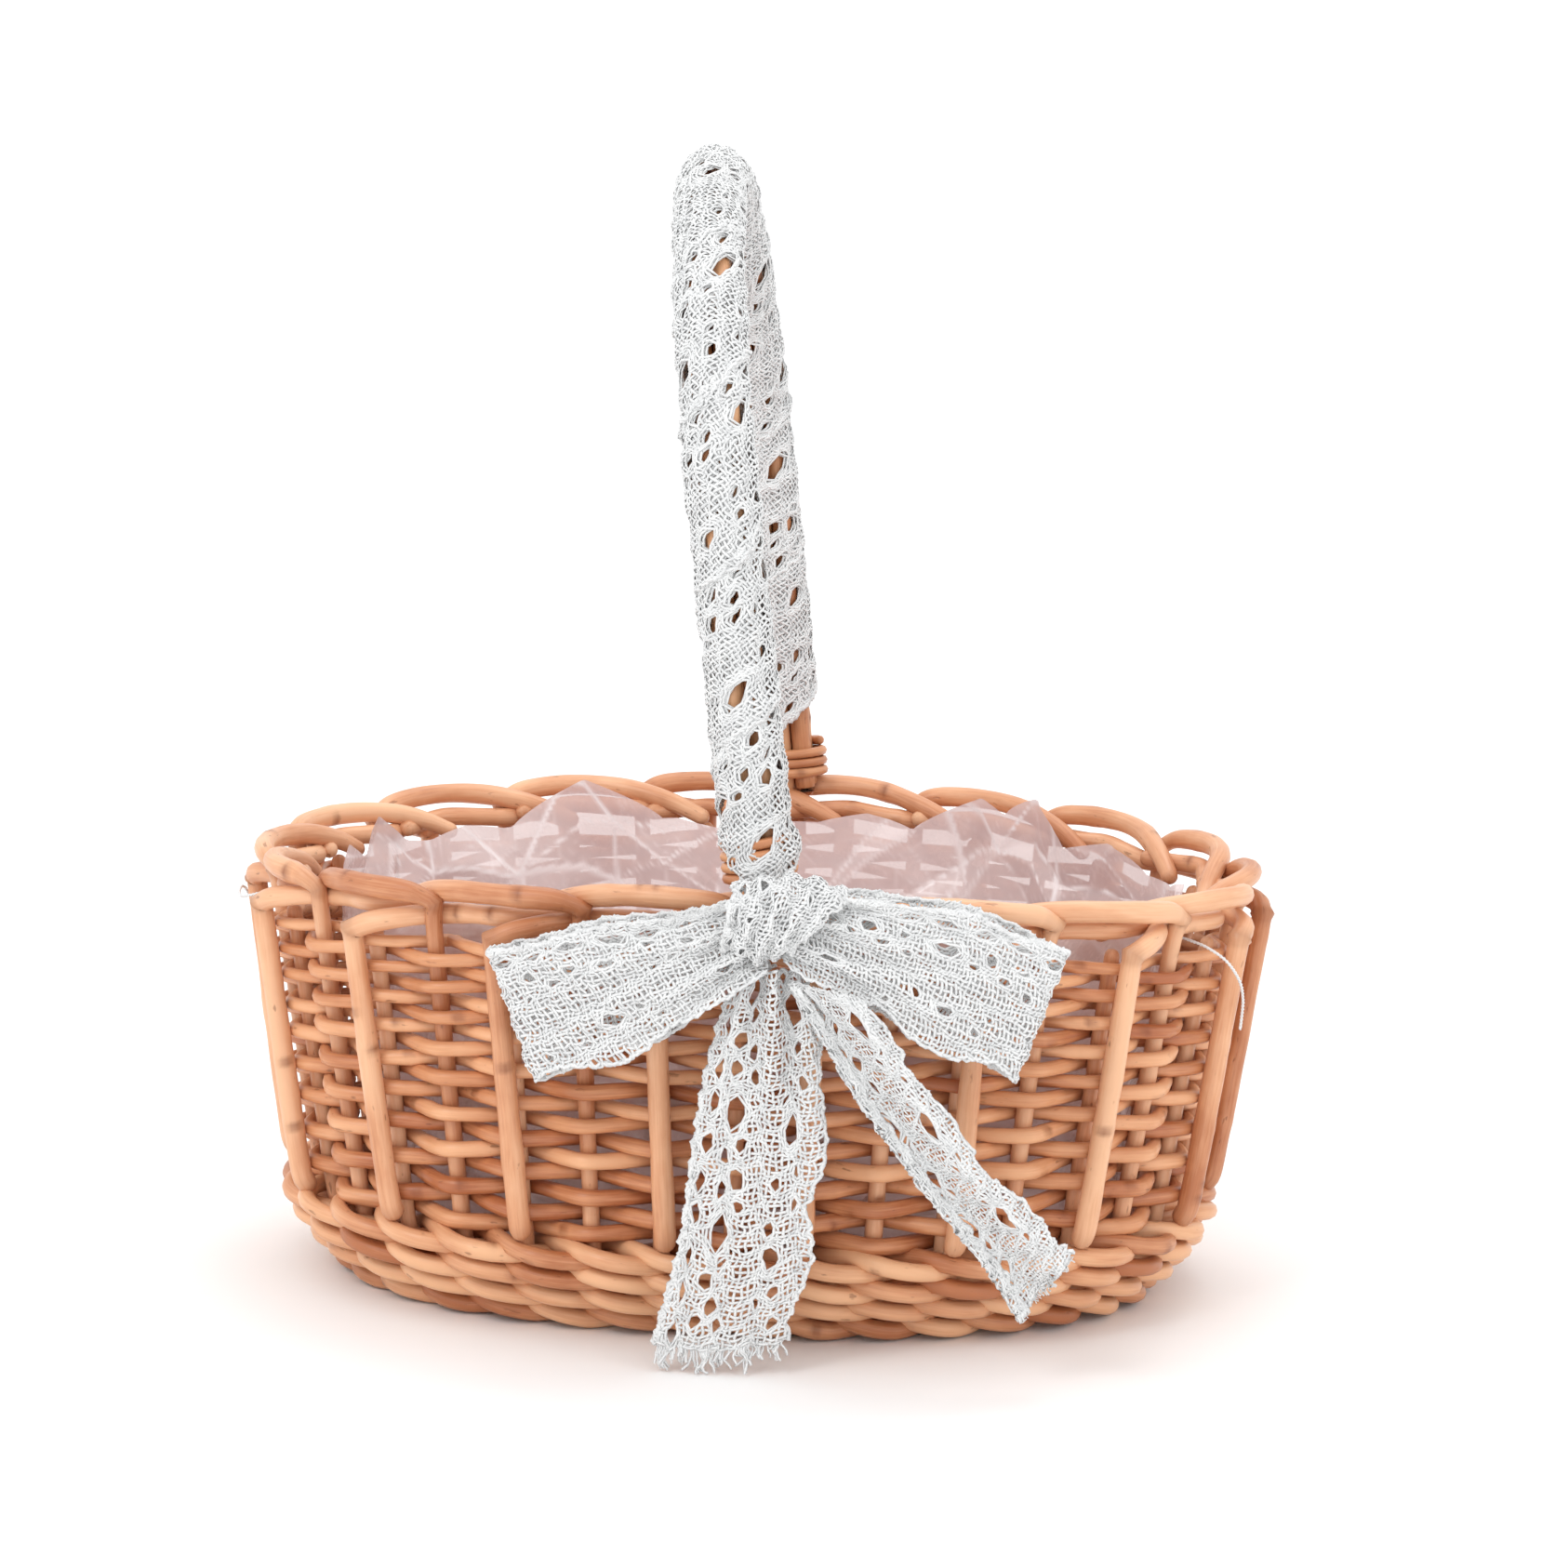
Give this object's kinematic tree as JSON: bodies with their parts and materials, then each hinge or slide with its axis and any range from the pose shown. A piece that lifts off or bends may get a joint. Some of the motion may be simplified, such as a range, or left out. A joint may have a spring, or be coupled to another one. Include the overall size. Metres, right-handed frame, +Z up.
{
  "type": "flower girl basket",
  "caption": "Oval woven willow basket with a fixed arched handle wound with lace, a lace bow at its front foot and a clear film liner.",
  "frame": {"origin": "middle of the underside of the woven base, on the table", "axes": "+Z up, +X to the right along the rim's length, -Y towards the side with the bow"},
  "size_m": [0.259, 0.1988, 0.2801],
  "materials": {
    "base_stick": "peeled willow rod, varnished",
    "base_weave": "woven willow, varnished",
    "foot_waling": "thick peeled willow rods, varnished",
    "stake": "peeled willow rod, satin varnish, small knots",
    "weaver": "thin peeled willow rod, satin varnish",
    "handle_willow": "peeled willow rod, varnished",
    "liner_film": "milky see-through film with creases",
    "thread": "white twisted thread",
    "lace": "white cotton torchon lace, open ground"
  },
  "bodies": {
    "root": {"base_sticks_long": "base_stick", "base_sticks_cross": "base_stick", "base_weave": "base_weave", "foot_wale_1": "foot_waling", "foot_wale_2": "foot_waling", "foot_wale_3": "foot_waling", "foot_wale_4": "foot_waling", "inner_stakes": "stake", "hidden_stakes": "stake", "outer_upright_01": "stake", "outer_upright_02": "stake", "outer_upright_03": "stake", "outer_upright_04": "stake", "outer_upright_05": "stake", "outer_upright_06": "stake", "outer_upright_07": "stake", "outer_upright_08": "stake", "outer_upright_09": "stake", "outer_upright_10": "stake", "outer_upright_11": "stake", "outer_upright_12": "stake", "outer_upright_13": "stake", "outer_upright_14": "stake", "outer_upright_15": "stake", "outer_upright_16": "stake", "outer_upright_17": "stake", "outer_upright_18": "stake", "wall_weaver_01": "weaver", "wall_weaver_02": "weaver", "wall_weaver_03": "weaver", "wall_weaver_04": "weaver", "wall_weaver_05": "weaver", "wall_weaver_06": "weaver", "wall_weaver_07": "weaver", "wall_weaver_08": "weaver", "wall_weaver_09": "weaver", "wall_weaver_10": "weaver", "wall_weaver_11": "weaver", "wall_weaver_12": "weaver", "wall_weaver_13": "weaver", "wall_weaver_14": "weaver", "wall_weaver_15": "weaver", "wall_weaver_16": "weaver", "wall_weaver_17": "weaver", "wall_weaver_18": "weaver", "liner": "liner_film", "liner_thread_left": "thread", "liner_thread_right": "thread", "handle_rod_1": "handle_willow", "handle_rod_2": "handle_willow", "handle_rod_3": "handle_willow", "handle_rod_4": "handle_willow", "handle_lashing_front": "handle_willow", "handle_lashing_back": "handle_willow", "handle_lace_wrap": "lace", "bow_knot": "lace", "bow_left_loop": "lace", "bow_right_loop": "lace", "bow_left_tail": "lace", "bow_right_tail": "lace"}
  },
  "joints": []
}
